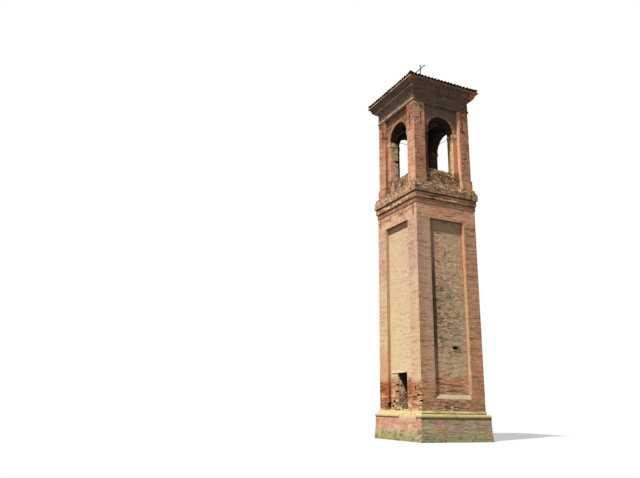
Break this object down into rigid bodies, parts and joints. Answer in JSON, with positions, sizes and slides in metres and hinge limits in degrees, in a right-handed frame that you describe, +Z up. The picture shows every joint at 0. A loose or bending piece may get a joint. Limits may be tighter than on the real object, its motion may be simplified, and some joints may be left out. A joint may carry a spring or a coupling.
{
  "type": "brick bell tower",
  "caption": "Ruined square brick bell tower: plinth, shaft with recessed panels and a doorway, stepped cornice, open arched belfry, tiled hipped roof and iron cross.",
  "frame": {"origin": "centre of the plinth's underside, at ground level", "axes": "+Z up along the tower's axis, -Y out of the front, -X out of the side with the doorway"},
  "size_m": [5.2, 5.2, 23.7991],
  "materials": {
    "pier_brick": "weathered red-orange brick, uneven lime joints",
    "panel_plaster": "thin cream lime plaster worn to the brick",
    "panel_brick": "grey-tan brick with lichen",
    "plinth_masonry": "pink and grey brick with plaster remains",
    "moulding_plaster": "cream lime plaster moulding with lichen",
    "cornice_brick": "eroded brick with moss",
    "top_cornice": "dark weathered brick and plaster",
    "fill": "rubble fill and beaten floor",
    "roof_tile": "dark weathered half-round clay tiles",
    "timber": "old chestnut, grey-brown",
    "iron": "rusted wrought iron"
  },
  "bodies": {
    "root": {"anchor_bars": "iron", "arch_back": "pier_brick", "arch_front": "pier_brick", "arch_imposts": "pier_brick", "arch_jambs": "pier_brick", "arch_left": "pier_brick", "arch_right": "pier_brick", "astragal": "top_cornice", "back_panel": "panel_brick", "base_moulding": "moulding_plaster", "belfry_floor": "fill", "belfry_pier_back_left": "pier_brick", "belfry_pier_back_right": "pier_brick", "belfry_pier_bases": "pier_brick", "belfry_pier_front_left": "pier_brick", "belfry_pier_front_right": "pier_brick", "cornice_cove": "top_cornice", "cornice_cyma": "top_cornice", "cornice_lower_course": "cornice_brick", "cornice_middle_course": "cornice_brick", "cornice_slab": "cornice_brick", "cornice_weathering": "cornice_brick", "cross": "iron", "cross_base": "moulding_plaster", "floor_fill": "fill", "frieze": "top_cornice", "front_panel": "panel_brick", "hip_rafters": "timber", "left_panel_jambs": "panel_plaster", "left_panel_over_door": "panel_plaster", "panel_foot_walls": "panel_brick", "panel_head_walls": "pier_brick", "parapets": "pier_brick", "plaster_slope": "moulding_plaster", "plinth": "plinth_masonry", "right_panel": "panel_brick", "roof_deck": "timber", "roof_seat": "top_cornice", "roof_tiles": "roof_tile", "shaft_pier_back_left": "pier_brick", "shaft_pier_back_right": "pier_brick", "shaft_pier_front_left": "pier_brick", "shaft_pier_front_right": "pier_brick", "tie_rods": "iron", "vent_hood": "moulding_plaster"}
  },
  "joints": []
}
